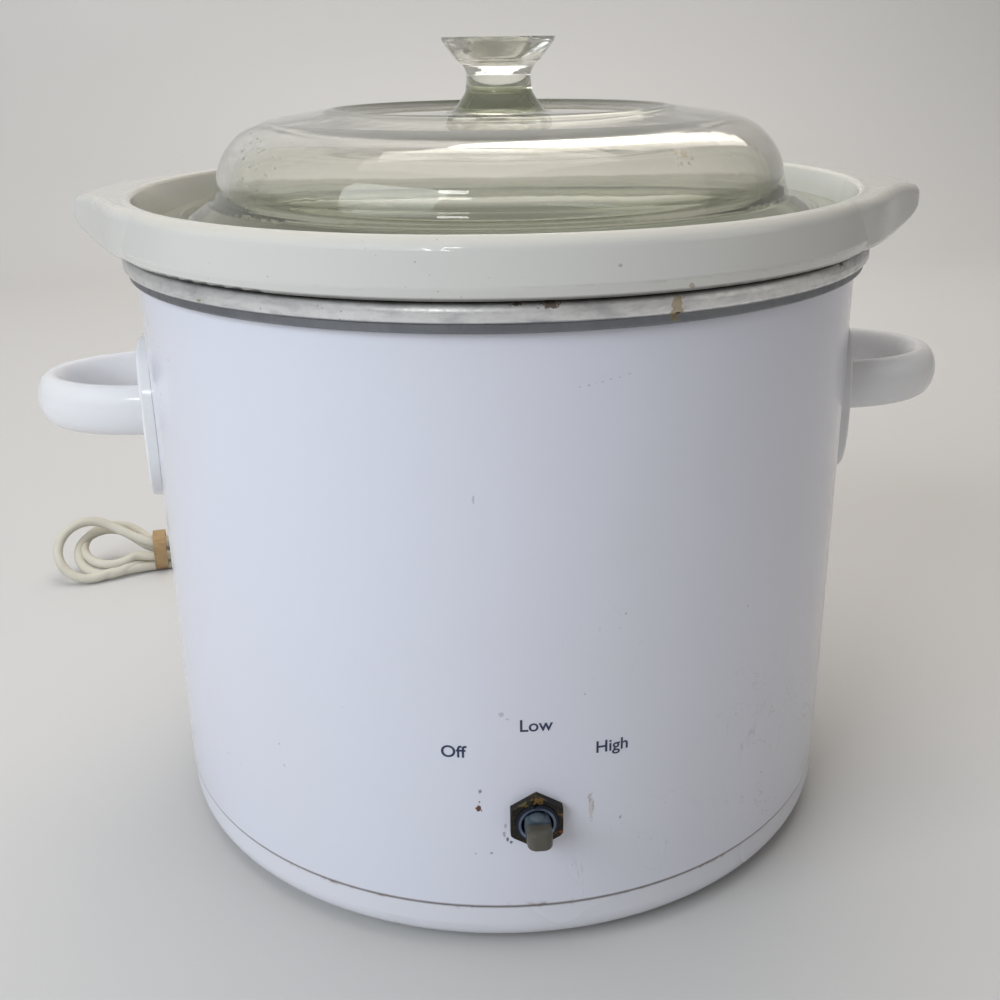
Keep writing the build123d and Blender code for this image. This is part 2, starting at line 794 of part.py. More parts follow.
def lid():
    glass = lid_glass
    crown = lid_seat + dome_height
    shoulder = dome_radius - 1.6
    knob_top = recess + knob_height
    shape = turned(
        (lid_radius, lid_seat, 0.5),
        (lid_radius, lid_seat + lid_edge, 1.2),
        (dome_radius + 10.1, lid_seat + lid_edge + 0.7, 3.0),
        (dome_radius + 1.6, lid_seat + 8.2, 4.0),
        (dome_radius, lid_seat + 12.0, 6.0),
        (shoulder, crown - 5.1, dome_shoulder),
        (recess_radius + 3.8, crown, 2.0),
        (recess_radius, recess, 0.8),
        (knob_neck + 4.6, recess, 4.0),
        (knob_neck + 0.5, recess + 6.1, 3.0),
        (knob_neck, recess + 11.1, 1.2),
        (knob_neck + 1.0, recess + 13.6, 0.8),
        (knob_neck + 2.9, recess + 15.2, 1.2),
        (knob_radius - 0.4, knob_top - 1.4, 0.8),
        (knob_radius, knob_top - 0.1, 0.05),
        (knob_radius - 4.1, knob_top, 1.6),
        (5.0, knob_top - 4.2, 5.0),
        (0, knob_top - 4.6, 0),
        (0, recess - glass, 0),
        (recess_radius + 2.0, recess - glass + 1.2, 10.0),
        (shoulder - glass, crown - glass - 5.2, dome_shoulder - glass),
        (dome_radius - glass, lid_seat + 9.5, 6.0),
        (dome_radius + 8.4, lid_seat, 2.0),
    )
    return Pos(lid_shift, 0, 0) * shape


# ---------------------------------------------------------------- plug
plug_along = 38.0  # beside the hank, its blades pointing the way the loops do
plug_length = 26.0
plug_width = 14.0
plug_thickness = 10.0
blade_spacing = 12.7
blade_width = 6.3
blade_thickness = 1.5
blade_length = 17.0


def plug_place():
    beside = hank_tail_width / 2 + (plug_width + blade_width) / 2 + seat_gap
    return hank_place() * Pos(plug_along, beside, plug_thickness / 2) * Rot(0, 0, 180)


def plug_body():
    sizes = [
        (plug_length / 2, plug_width + blade_width, plug_thickness),
        (0, plug_width, plug_thickness - 1.0),
        (-plug_length / 2, plug_width * 0.6, plug_thickness - 3.0),
    ]
    sections = []
    for along, width, height in sizes:
        place = Plane(origin=(along, 0, 0), x_dir=(0, 1, 0), z_dir=(1, 0, 0))
        sections.append(place * RectangleRounded(width, height, height * 0.38))
    return plug_place() * loft(sections)


def plug_blades():
    blades = []
    for side in (-1, 1):
        blade = Pos(plug_length / 2 + blade_length / 2, side * blade_spacing / 2, 0)
        blade *= Box(blade_length, blade_thickness, blade_width)
        blades.append(plug_place() * blade)
    return Compound(blades)


pieces = {
    "base_pan": base_pan(),
    "outer_shell": outer_shell(),
    "heating_well": heating_well(),
    "heater_band": heater_band(),
    "heater_clamp": heater_clamp(),
    "heater_tabs": heater_tabs(),
    "centre_stud": centre_stud(),
    "stud_washer": stud_washer(),
    "stud_nut": stud_nut(),
    "handle_left": handle(-1),
    "handle_right": handle(1),
    "handle_screws": handle_screws(),
    "switch_body": switch_body(),
    "switch_bushing": switch_bushing(),
    "switch_washer": switch_washer(),
    "switch_nut": switch_nut(),
    "switch_lever": switch_lever(),
    "switch_terminals": switch_terminals(),
    "lead_low": heater_lead("low", 0),
    "lead_high": heater_lead("high", 2),
    "lead_line": lead_line(),
    "lead_neutral": lead_neutral(),
    "strain_relief": strain_relief(),
    "power_cord": power_cord(),
    "cord_hank": cord_hank(),
    "cord_tie": cord_tie(),
    "plug_body": plug_body(),
    "plug_blades": plug_blades(),
    "crock": crock(),
    "lid": lid(),
}
for name, angle in foot_angles.items():
    pieces[name] = foot(angle)

os.makedirs("parts", exist_ok=True)
for name, shape in pieces.items():
    export_step(shape, f"parts/{name}.step")
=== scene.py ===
import json
import math

import bmesh
import bpy
from mathutils import Matrix, Vector


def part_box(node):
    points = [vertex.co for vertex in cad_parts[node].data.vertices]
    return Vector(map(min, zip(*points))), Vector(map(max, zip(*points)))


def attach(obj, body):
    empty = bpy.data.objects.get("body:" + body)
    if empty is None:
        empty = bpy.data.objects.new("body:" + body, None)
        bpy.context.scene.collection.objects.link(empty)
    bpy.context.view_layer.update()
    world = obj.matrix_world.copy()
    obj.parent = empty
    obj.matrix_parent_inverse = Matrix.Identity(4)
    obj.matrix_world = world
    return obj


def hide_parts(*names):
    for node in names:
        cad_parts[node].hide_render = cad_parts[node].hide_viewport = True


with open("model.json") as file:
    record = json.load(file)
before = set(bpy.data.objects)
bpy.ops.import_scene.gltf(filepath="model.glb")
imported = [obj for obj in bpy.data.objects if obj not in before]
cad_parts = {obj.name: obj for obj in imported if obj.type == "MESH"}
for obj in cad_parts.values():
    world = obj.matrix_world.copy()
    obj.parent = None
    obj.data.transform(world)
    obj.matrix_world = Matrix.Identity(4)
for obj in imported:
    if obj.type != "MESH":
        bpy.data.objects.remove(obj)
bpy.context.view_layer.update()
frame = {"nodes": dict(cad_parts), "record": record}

nodes = frame["nodes"]
mm = 0.001


def deselectAll():
    if bpy.context.object and bpy.context.object.mode != "OBJECT":
        bpy.ops.object.mode_set(mode="OBJECT")
    bpy.ops.object.select_all(action="DESELECT")


def makeActive(piece):
    deselectAll()
    piece.select_set(True)
    bpy.context.view_layer.objects.active = piece


def nodeMiddle(name):
    low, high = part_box(name)
    return (low + high) / 2


deselectAll()

cameraSetup = {
    "distance": 376.63 * mm,  # from the cooker's axis, level with the eye
    "height": 244.12 * mm,
    "aroundDeg": 4.5,  # the eye stands a little towards the left handle
    "downDeg": 19.593,
    "rollDeg": -0.823,
    "lens": 41.6,
    "shift": (0.00117, -0.04096),
}


def makeCamera(setup):
    around = math.radians(setup["aroundDeg"])
    down = math.radians(setup["downDeg"])
    roll = math.radians(setup["rollDeg"])
    ahead = Vector((math.sin(around), math.cos(around), 0))
    place = -ahead * setup["distance"] + Vector((0, 0, setup["height"]))
    forward = ahead * math.cos(down) - Vector((0, 0, math.sin(down)))
    right = Vector((math.cos(around), -math.sin(around), 0))
    up = ahead * math.sin(down) + Vector((0, 0, math.cos(down)))
    across = right * math.cos(roll) + up * math.sin(roll)
    above = -right * math.sin(roll) + up * math.cos(roll)
    data = bpy.data.cameras.new("photoCamera")
    data.lens = setup["lens"]
    data.shift_x, data.shift_y = setup["shift"]
    data.clip_start = 0.01
    camera = bpy.data.objects.new("photoCamera", data)
    bpy.context.scene.collection.objects.link(camera)
    turn = Matrix((across, above, -forward)).transposed()
    camera.matrix_world = Matrix.Translation(place) @ turn.to_4x4()
    bpy.context.scene.camera = camera


makeCamera(cameraSetup)
print("stage: camera")


def newGroup(name, inputs, outputs):
    group = bpy.data.node_groups.new(name, "ShaderNodeTree")
    for label, kind, value in inputs:
        socket = group.interface.new_socket(label, in_out="INPUT", socket_type=kind)
        socket.default_value = value
    for label, kind in outputs:
        group.interface.new_socket(label, in_out="OUTPUT", socket_type=kind)
    return group, group.nodes.new("NodeGroupInput"), group.nodes.new("NodeGroupOutput")


def mathNode(tree, operation, first, second=0.5, clamp=False):
    node = tree.nodes.new("ShaderNodeMath")
    node.operation = operation
    node.use_clamp = clamp
    for index, value in enumerate((first, second)):
        if isinstance(value, (int, float)):
            node.inputs[index].default_value = value
        else:
            tree.links.new(value, node.inputs[index])
    return node.outputs[0]


def rampNode(tree, value, low, high):
    # a soft step: 0 at low, 1 at high
    node = tree.nodes.new("ShaderNodeMapRange")
    node.interpolation_type = "SMOOTHSTEP"
    node.inputs["From Min"].default_value = low
    node.inputs["From Max"].default_value = high
    tree.links.new(value, node.inputs["Value"])
    return node.outputs["Result"]


def mixColour(tree, amount, first, second):
    node = tree.nodes.new("ShaderNodeMix")
    node.data_type = "RGBA"
    for socket, value in ((node.inputs[0], amount), (node.inputs[6], first), (node.inputs[7], second)):
        if isinstance(value, (int, float)):
            socket.default_value = value
        elif isinstance(value, (tuple, list)):
            socket.default_value = (*value, 1.0)
        else:
            tree.links.new(value, socket)
    return node.outputs[2]


def makeStainSpot():
    # a ragged mark round one point of the object
    group, start, end = newGroup(
        "stainSpot",
        [
            ("Place", "NodeSocketVector", (0, 0, 0)),
            ("Size", "NodeSocketFloat", 0.003),
            ("Ragged", "NodeSocketFloat", 0.4),
            ("Grain", "NodeSocketFloat", 900.0),
            ("Stretch", "NodeSocketVector", (1, 1, 1)),
        ],
        [("Mask", "NodeSocketFloat")],
    )
    where = group.nodes.new("ShaderNodeTexCoord").outputs["Object"]
    away = group.nodes.new("ShaderNodeVectorMath")
    away.operation = "SUBTRACT"
    group.links.new(where, away.inputs[0])
    group.links.new(start.outputs["Place"], away.inputs[1])
    squeeze = group.nodes.new("ShaderNodeVectorMath")
    squeeze.operation = "DIVIDE"
    group.links.new(away.outputs[0], squeeze.inputs[0])
    group.links.new(start.outputs["Stretch"], squeeze.inputs[1])
    length = group.nodes.new("ShaderNodeVectorMath")
    length.operation = "LENGTH"
    group.links.new(squeeze.outputs[0], length.inputs[0])
    ratio = mathNode(group, "DIVIDE", length.outputs["Value"], start.outputs["Size"])
    noise = group.nodes.new("ShaderNodeTexNoise")
    noise.inputs["Detail"].default_value = 4.0
    group.links.new(where, noise.inputs["Vector"])
    group.links.new(start.outputs["Grain"], noise.inputs["Scale"])
    wobble = mathNode(group, "SUBTRACT", noise.outputs["Fac"], 0.5)
    wobble = mathNode(group, "MULTIPLY", wobble, start.outputs["Ragged"])
    wobble = mathNode(group, "MULTIPLY", wobble, 4.0)
    ragged = mathNode(group, "ADD", ratio, wobble)
    group.links.new(rampNode(group, ragged, 1.0, 0.7), end.inputs["Mask"])
    return group


def makeSpeckle():
    # scattered small specks, thinned out by a broad noise
    group, start, end = newGroup(
        "speckle",
        [
            ("Scale", "NodeSocketFloat", 300.0),
            ("Amount", "NodeSocketFloat", 0.1),
            ("Patches", "NodeSocketFloat", 12.0),
        ],
        [("Mask", "NodeSocketFloat")],
    )
    where = group.nodes.new("ShaderNodeTexCoord").outputs["Object"]
    cells = group.nodes.new("ShaderNodeTexVoronoi")
    group.links.new(where, cells.inputs["Vector"])
    group.links.new(start.outputs["Scale"], cells.inputs["Scale"])
    broad = group.nodes.new("ShaderNodeTexNoise")
    broad.inputs["Detail"].default_value = 1.0
    group.links.new(where, broad.inputs["Vector"])
    group.links.new(start.outputs["Patches"], broad.inputs["Scale"])
    size = mathNode(group, "SUBTRACT", broad.outputs["Fac"], 0.45)
    size = mathNode(group, "MULTIPLY", size, start.outputs["Amount"])
    size = mathNode(group, "MAXIMUM", size, 0.0)
    mask = mathNode(group, "LESS_THAN", cells.outputs["Distance"], size)
    group.links.new(mask, end.inputs["Mask"])
    return group


def makeSurfaceWaves():
    # fine unevenness of a glaze, enamel or moulding, as a height
    group, start, end = newGroup(
        "surfaceWaves",
        [
            ("Broad", "NodeSocketFloat", 14.0),
            ("Fine", "NodeSocketFloat", 220.0),
            ("FineShare", "NodeSocketFloat", 0.3),
        ],
        [("Height", "NodeSocketFloat")],
    )
    where = group.nodes.new("ShaderNodeTexCoord").outputs["Object"]
    parts = []
    for label in ("Broad", "Fine"):
        noise = group.nodes.new("ShaderNodeTexNoise")
        noise.inputs["Detail"].default_value = 2.0
        group.links.new(where, noise.inputs["Vector"])
        group.links.new(start.outputs[label], noise.inputs["Scale"])
        parts.append(noise.outputs["Fac"])
    fine = mathNode(group, "MULTIPLY", parts[1], start.outputs["FineShare"])
    group.links.new(mathNode(group, "ADD", parts[0], fine), end.inputs["Height"])
    return group


stainSpot = makeStainSpot()
speckle = makeSpeckle()
surfaceWaves = makeSurfaceWaves()


class Finish:
    # one material with its Principled shader and a few short ways to wire it

    def __init__(self, name, colour, rough, metal=0.0):
        self.material = bpy.data.materials.new(name)
        self.material.use_nodes = True
        self.tree = self.material.node_tree
        self.shader = self.tree.nodes["Principled BSDF"]
        self.shader.inputs["Base Color"].default_value = (*colour, 1)
        self.shader.inputs["Roughness"].default_value = rough
        self.shader.inputs["Metallic"].default_value = metal
        self.colour = colour
        self.rough = rough
        self.where = self.tree.nodes.new("ShaderNodeTexCoord").outputs["Object"]

    def set(self, label, value):
        self.shader.inputs[label].default_value = value

    def group(self, group, **values):
        node = self.tree.nodes.new("ShaderNodeGroup")
        node.node_tree = group
        for label, value in values.items():
            node.inputs[label].default_value = value
        return node.outputs[0]

    def noise(self, scale, detail=2.0, rough=0.5, distortion=0.0, stretch=None):
        vector = self.where
        if stretch:
            mapping = self.tree.nodes.new("ShaderNodeMapping")
            mapping.inputs["Scale"].default_value = stretch
            self.tree.links.new(vector, mapping.inputs["Vector"])
            vector = mapping.outputs["Vector"]
        node = self.tree.nodes.new("ShaderNodeTexNoise")
        node.inputs["Scale"].default_value = scale
        node.inputs["Detail"].default_value = detail
        node.inputs["Roughness"].default_value = rough
        node.inputs["Distortion"].default_value = distortion
        self.tree.links.new(vector, node.inputs["Vector"])
        return node.outputs["Fac"]

    def spot(self, place, size, ragged, grain, stretch=(1, 1, 1)):
        return self.group(stainSpot, Place=place, Size=size, Ragged=ragged, Grain=grain, Stretch=stretch)

    def waves(self, broad, fine, fineShare, strength, distance):
        height = self.group(surfaceWaves, Broad=broad, Fine=fine, FineShare=fineShare)
        self.bump(height, strength, distance)

    def ramp(self, value, low, high):
        return rampNode(self.tree, value, low, high)

    def between(self, value, low, innerLow, innerHigh, high):
        # 1 from innerLow to innerHigh and 0 outside low and high
        rise = self.ramp(value, low, innerLow)
        return self.maths("MULTIPLY", rise, self.ramp(value, high, innerHigh))

    def maths(self, operation, first, second=0.5, clamp=False):
        return mathNode(self.tree, operation, first, second, clamp)

    def tint(self, mask, colour, amount=1.0):
        share = self.maths("MULTIPLY", mask, amount, clamp=True)
        self.colour = mixColour(self.tree, share, self.colour, colour)

    def roughen(self, mask, change):
        delta = self.maths("MULTIPLY", mask, change)
        self.rough = self.maths("ADD", delta, self.rough, clamp=True)

    def bump(self, height, strength=0.2, distance=0.0005):
        node = self.tree.nodes.new("ShaderNodeBump")
        node.inputs["Strength"].default_value = strength
        node.inputs["Distance"].default_value = distance
        self.tree.links.new(height, node.inputs["Height"])
        if self.shader.inputs["Normal"].links:
            self.tree.links.new(self.shader.inputs["Normal"].links[0].from_socket, node.inputs["Normal"])
        self.tree.links.new(node.outputs["Normal"], self.shader.inputs["Normal"])

    def along(self, axis):
        split = self.tree.nodes.new("ShaderNodeSeparateXYZ")
        self.tree.links.new(self.where, split.inputs[0])
        return split.outputs[axis]

    def distance(self, first, second):
        squares = [self.maths("MULTIPLY", part, part) for part in (first, second)]
        return self.maths("SQRT", self.maths("ADD", *squares))

    def fromSwitchLine(self):
        # distance from the line along Y through the switch
        above = self.maths("SUBTRACT", self.along("Z"), switchHeight)
        return self.distance(self.along("X"), above)

    def fromUpright(self, x=0.0):
        # distance from an upright line through x
        return self.distance(self.maths("SUBTRACT", self.along("X"), x), self.along("Y"))

    def done(self):
        for label, value in (("Base Color", self.colour), ("Roughness", self.rough)):
            if not isinstance(value, (int, float, tuple, list)):
                self.tree.links.new(value, self.shader.inputs[label])
        return self.material


shellRadius = 112.0 * mm
switchHeight = nodeMiddle("switch_nut").z
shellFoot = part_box("outer_shell")[0].z
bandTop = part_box("heating_well")[1].z
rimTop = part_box("crock")[1].z
rimLow = rimTop - 14.8 * mm
bandRadius = 115.7 * mm
rimRadius = 117.4 * mm
nutFace = 114.2 * mm  # from the cooker's axis


def onShell(turnDeg, height, radius=shellRadius):
    # a point on the wrap, turned from the switch towards the right handle
    turn = math.radians(turnDeg)
    return (radius * math.sin(turn), -radius * math.cos(turn), height)


seamRust = (0.13, 0.075, 0.045)

enamel = {
    "colour": (0.70, 0.71, 0.80),
    "rough": 0.17,
    # a dirt colour that also stands for the painted shade in the seam's gap
    "seamDirtAndShade": (0.12, 0.07, 0.035),
    # heights above the lower edge where the dirt with the painted shade of the seam, and the rust, end
    "dirtAndShadeEnds": (0.7 * mm, 0.1 * mm),
    "rustEnds": (1.8 * mm, 0.4 * mm),
    # turn, height, size, stretch upwards, colour, amount
    "marks": [
        (-7.8, 54.2, 0.55, 1.3, "brown", 0.7),
        (-7.9, 51.0, 0.35, 1.0, "rust", 0.8),
        (-8.0, 48.8, 0.95, 1.3, "rust", 1.0),
        (7.9, 47.0, 0.75, 6.5, "tan", 0.4),
        (7.6, 50.3, 0.5, 3.0, "brown", 0.35),
        (8.2, 48.0, 0.3, 7.0, "brown", 0.35),
        (12.3, 42.0, 0.5, 1.2, "brown", 0.5),
        (-6.3, 34.2, 0.45, 1.0, "dark", 0.6),
        (-8.6, 34.0, 0.35, 1.0, "dark", 0.3),
        (-4.0, 38.6, 0.55, 1.3, "dark", 0.85),
        (-3.5, 37.8, 0.6, 1.0, "dark", 0.8),
        (-4.5, 40.4, 0.4, 2.4, "dark", 0.5),
        (-4.3, 43.2, 0.35, 2.6, "dark", 0.4),
        (-4.7, 78.2, 0.9, 0.8, "dark", 0.35),
        (-3.9, 76.8, 0.6, 0.6, "dark", 0.3),
        (-7.8, 139.2, 0.4, 3.0, "dark", 0.3),
        (5.6, 167.3, 0.28, 0.8, "dark", 0.4),
        (6.8, 167.6, 0.36, 0.6, "dark", 0.45),
        (7.7, 168.1, 0.26, 0.6, "dark", 0.4),
        (8.5, 168.2, 0.45, 0.35, "dark", 0.4),
        (9.6, 168.7, 0.5, 0.3, "dark", 0.4),
        (10.7, 169.0, 0.42, 0.4, "dark", 0.35),
        (12.0, 169.6, 0.5, 0.3, "dark", 0.3),
        (8.8, 169.6, 0.3, 0.5, "dark", 0.25),
        (33.2, 97.3, 0.4, 0.8, "dark", 0.3),
        (-38.6, 181.2, 0.5, 0.8, "dark", 0.5),
    ],
}
markColours = {
    "rust": (0.12, 0.038, 0.016),
    "brown": (0.11, 0.062, 0.035),
    "tan": (0.40, 0.31, 0.18),
    "dark": (0.07, 0.065, 0.075),
}


def paintedSteel():
    finish = Finish("paintedSteel", enamel["colour"], enamel["rough"])
    finish.set("Coat Weight", 0.3)
    finish.set("Coat Roughness", 0.06)
    cloud = finish.ramp(finish.noise(9.0, 3.0), 0.35, 0.7)
    finish.tint(cloud, (0.67, 0.67, 0.715), 0.4)
    height = finish.along("Z")
    # a dark line along the seam with the base, partly dirt and partly painted shade of the gap, and rust
    # that creeps up from the seam
    edge = finish.ramp(height, *[shellFoot + end for end in enamel["dirtAndShadeEnds"]])
    finish.tint(edge, enamel["seamDirtAndShade"], 0.75)
    low = finish.ramp(height, *[shellFoot + end for end in enamel["rustEnds"]])
    ragged = finish.ramp(finish.noise(60.0, 5.0, 0.7), 0.57, 0.66)
    seam = finish.maths("MULTIPLY", low, ragged)
    finish.tint(seam, seamRust, 0.6)
    finish.roughen(seam, 0.4)
    for turn, z, size, stretch, colour, amount in enamel["marks"]:
        spot = finish.spot(onShell(turn, z * mm), size * mm, 0.55, 1100.0, (1, 1, stretch))
        finish.tint(spot, markColours[colour], amount)
        finish.roughen(spot, 0.3 * amount)
    # faint rubbed lines and dots
    wander = finish.noise(30.0, 4.0, 0.6, 1.5, (1, 1, 0.6))
    lines = finish.between(wander, 0.497, 0.5, 0.501, 0.504)
    patches = finish.ramp(finish.noise(8.0, 2.0), 0.56, 0.66)
    finish.tint(finish.maths("MULTIPLY", patches, lines), (0.34, 0.33, 0.37), 0.35)
    dots = finish.group(speckle, Scale=170.0, Amount=0.28, Patches=16.0)
    finish.tint(dots, (0.30, 0.26, 0.24), 0.45)
    finish.waves(26.0, 700.0, 0.05, 0.12, 0.0006)
    return finish.done()


def whiteBase():
    finish = Finish("whiteBase", (0.70, 0.705, 0.76), 0.24)
    height = finish.along("Z")
    # painted shade: a near black line just under the seam, where the gap between the wrap and the base
    # lies
    edge = finish.ramp(height, shellFoot - 1.1 * mm, shellFoot - 0.3 * mm)
    finish.tint(edge, (0.035, 0.030, 0.028), 0.9)
    ragged = finish.ramp(finish.noise(85.0, 5.0, 0.7), 0.56, 0.68)
    near = finish.ramp(height, shellFoot - 1.9 * mm, shellFoot - 0.7 * mm)
    finish.tint(finish.maths("MULTIPLY", near, ragged), seamRust, 0.75)
    # painted shade: darker towards the bottom, where the base turns in under the cooker
    under = finish.ramp(height, 4.6 * mm, 2.4 * mm)
    finish.tint(under, (0.40, 0.40, 0.43), 0.6)
    dots = finish.group(speckle, Scale=220.0, Amount=0.3, Patches=20.0)
    finish.tint(dots, (0.25, 0.21, 0.18), 0.5)
    cloud = finish.ramp(finish.noise(14.0, 3.0), 0.4, 0.75)
    finish.roughen(cloud, 0.10)
    finish.waves(30.0, 500.0, 0.15, 0.08, 0.0005)
    return finish.done()


def whiteHandle():
    finish = Finish("whiteHandle", (0.78, 0.78, 0.80), 0.16)
    finish.set("Coat Weight", 0.3)
    finish.set("Coat Roughness", 0.05)
    cloud = finish.ramp(finish.noise(40.0, 3.0), 0.45, 0.8)
    finish.tint(cloud, (0.72, 0.71, 0.70), 0.4)
    finish.roughen(cloud, 0.08)
    finish.waves(60.0, 900.0, 0.1, 0.10, 0.0004)
    return finish.done()


def stoneware():
    finish = Finish("stoneware", (0.64, 0.635, 0.61), 0.11)
    finish.set("Coat Weight", 0.5)
    finish.set("Coat Roughness", 0.03)
    cloud = finish.ramp(finish.noise(18.0, 4.0), 0.35, 0.7)
    finish.tint(cloud, (0.66, 0.645, 0.60), 0.45)
    # painted shadow along the lower edge of the rim, where it sits over the band
    rimSeatShade = finish.ramp(finish.along("Z"), rimLow + 1.3 * mm, rimLow + 0.3 * mm)
    finish.tint(rimSeatShade, (0.05, 0.045, 0.04), 0.85)
    # the glaze runs thin and warmer over the crest of the rim
    crest = finish.ramp(finish.along("Z"), rimTop - 3 * mm, rimTop - 0.6 * mm)
    finish.tint(crest, (0.66, 0.625, 0.54), 0.5)
    # painted shade: the glaze is darker and greener down inside the crock
    insideShade = finish.ramp(finish.fromUpright(), 112 * mm, 109.8 * mm)
    finish.tint(insideShade, (0.50, 0.49, 0.43), 0.75)
    pits = finish.group(speckle, Scale=420.0, Amount=0.45, Patches=30.0)
    finish.tint(pits, (0.22, 0.19, 0.16), 0.5)
    for turn, z, size in ((9.5, 197.0, 0.7), (10.8, 198.6, 0.5), (18.5, 190.9, 1.1)):
        spot = finish.spot(onShell(turn, z * mm, rimRadius), size * mm, 0.6, 900.0, (1, 1, 0.7))
        finish.tint(spot, (0.25, 0.15, 0.07), 0.5)
    finish.roughen(finish.ramp(finish.noise(50.0, 3.0), 0.5, 0.8), 0.08)
    finish.waves(45.0, 320.0, 0.25, 0.20, 0.0007)
    return finish.done()


bandStains = [
    # turn, height, size, stretch upwards, colour, amount
    (17.2, 185.6, 1.9, 1.9, (0.42, 0.30, 0.10), 0.6),
    (17.4, 184.0, 0.9, 0.8, (0.10, 0.05, 0.02), 0.8),
    (-2.4, 188.6, 1.5, 0.35, (0.12, 0.06, 0.02), 0.85),
    (1.5, 188.5, 3.4, 0.3, (0.13, 0.07, 0.03), 0.8),
    (48.6, 188.4, 1.6, 0.6, (0.20, 0.08, 0.03), 0.8),
    (-23.1, 183.9, 0.25, 5.0, (0.05, 0.05, 0.06), 0.8),
    (-45.0, 185.0, 1.0, 0.6, (0.30, 0.22, 0.12), 0.5),
]


def rolledAluminium():
    finish = Finish("rolledAluminium", (0.88, 0.88, 0.87), 0.34, 0.8)
    scratches = finish.noise(520.0, 4.0, 0.7, 1.2, (1, 1, 0.5))
    grain = finish.noise(90.0, 5.0, 0.65, 0.4, (1, 1, 3))
    finish.tint(finish.ramp(grain, 0.38, 0.72), (0.36, 0.36, 0.38), 0.5)
    finish.tint(finish.ramp(scratches, 0.52, 0.66), (0.78, 0.78, 0.79), 0.45)
    finish.roughen(finish.ramp(scratches, 0.40, 0.62), 0.18)
    oxide = finish.ramp(finish.noise(26.0, 6.0, 0.7, 0.6), 0.54, 0.70)
    finish.tint(oxide, (0.42, 0.40, 0.36), 0.5)
    finish.roughen(oxide, 0.22)
    height = finish.along("Z")
    # painted shade on the hem, under the roll of the band
    hemShade = finish.ramp(height, bandTop - 4.4 * mm, bandTop - 5.4 * mm)
    finish.tint(hemShade, (0.12, 0.13, 0.155), 0.85)
    # painted shadow of the crock's rim along the top of the band
    rimShadow = finish.ramp(height, bandTop - 1 * mm, bandTop - 0.1 * mm)
    finish.tint(rimShadow, (0.06, 0.05, 0.045), 0.85)
    for turn, z, size, stretch, colour, amount in bandStains:
        spot = finish.spot(onShell(turn, z * mm, bandRadius), size * mm, 0.6, 800.0, (1, 1, stretch))
        finish.tint(spot, colour, amount)
        finish.roughen(spot, 0.3)
    nicks = finish.group(speckle, Scale=380.0, Amount=0.5, Patches=40.0)
    finish.tint(nicks, (0.16, 0.14, 0.12), 0.6)
    finish.bump(scratches, 0.30, 0.0003)
    return finish.done()


def heaterFoil():
    finish = Finish("heaterFoil", (0.72, 0.71, 0.68), 0.3, 1.0)
    crinkle = finish.noise(120.0, 6.0, 0.7, 1.0)
    finish.tint(finish.ramp(crinkle, 0.45, 0.7), (0.5, 0.47, 0.42), 0.5)
    finish.bump(crinkle, 0.6, 0.001)
    return finish.done()


def platedSteel():
    finish = Finish("platedSteel", (0.56, 0.55, 0.52), 0.35, 1.0)
    wear = finish.ramp(finish.noise(180.0, 4.0, 0.6), 0.45, 0.7)
    finish.tint(wear, (0.38, 0.33, 0.24), 0.5)
    finish.roughen(wear, 0.2)
    finish.bump(finish.noise(500.0, 3.0), 0.15, 0.0003)
    return finish.done()


nutStains = [
    # sideways and up from the nut's middle, size, stretch upwards, colour, amount
    (6.3, 2.2, 1.7, 2.4, (0.20, 0.10, 0.035), 0.75),
    (6.5, -3.6, 1.9, 1.7, (0.27, 0.085, 0.03), 0.8),
    (0.3, 7.0, 1.8, 0.8, (0.20, 0.115, 0.03), 0.75),
    (-3.4, 5.6, 1.7, 0.9, (0.15, 0.12, 0.035), 0.6),
    (-0.5, -6.8, 1.6, 0.6, (0.12, 0.09, 0.04), 0.5),
]


def rustyNut():
    finish = Finish("rustyNut", (0.010, 0.0095, 0.008), 0.55)
    finish.set("Specular IOR Level", 0.3)
    patches = finish.ramp(finish.noise(420.0, 5.0, 0.7, 0.6), 0.52, 0.64)
    finish.tint(patches, (0.075, 0.048, 0.016), 0.7)
    finish.roughen(patches, 0.25)
    for x, z, size, stretch, colour, amount in nutStains:
        place = (x * mm, -nutFace, switchHeight + z * mm)
        spot = finish.spot(place, size * mm, 0.8, 900.0, (1, 0.4, 1 / stretch))
        finish.tint(spot, colour, amount)
    finish.bump(finish.noise(700.0, 5.0, 0.7), 0.35, 0.0004)
    return finish.done()


def bluedBushing():
    finish = Finish("bluedBushing", (0.11, 0.14, 0.21), 0.30, 0.6)
    wear = finish.ramp(finish.noise(300.0, 4.0), 0.45, 0.70)
    finish.tint(wear, (0.30, 0.35, 0.46), 0.5)
    # the thread outside the polished end is nearly black, and the bore is painted near black as shade
    # inside the hole
    around = finish.fromSwitchLine()
    outside = finish.ramp(around, 5.05 * mm, 5.25 * mm)
    finish.tint(outside, (0.012, 0.014, 0.022), 0.95)
    finish.roughen(outside, 0.3)
    # painted shade inside the bore
    finish.tint(finish.ramp(around, 4.55 * mm, 4.4 * mm), (0.006, 0.008, 0.014), 0.95)
    finish.bump(finish.noise(900.0, 3.0), 0.2, 0.0002)
    return finish.done()


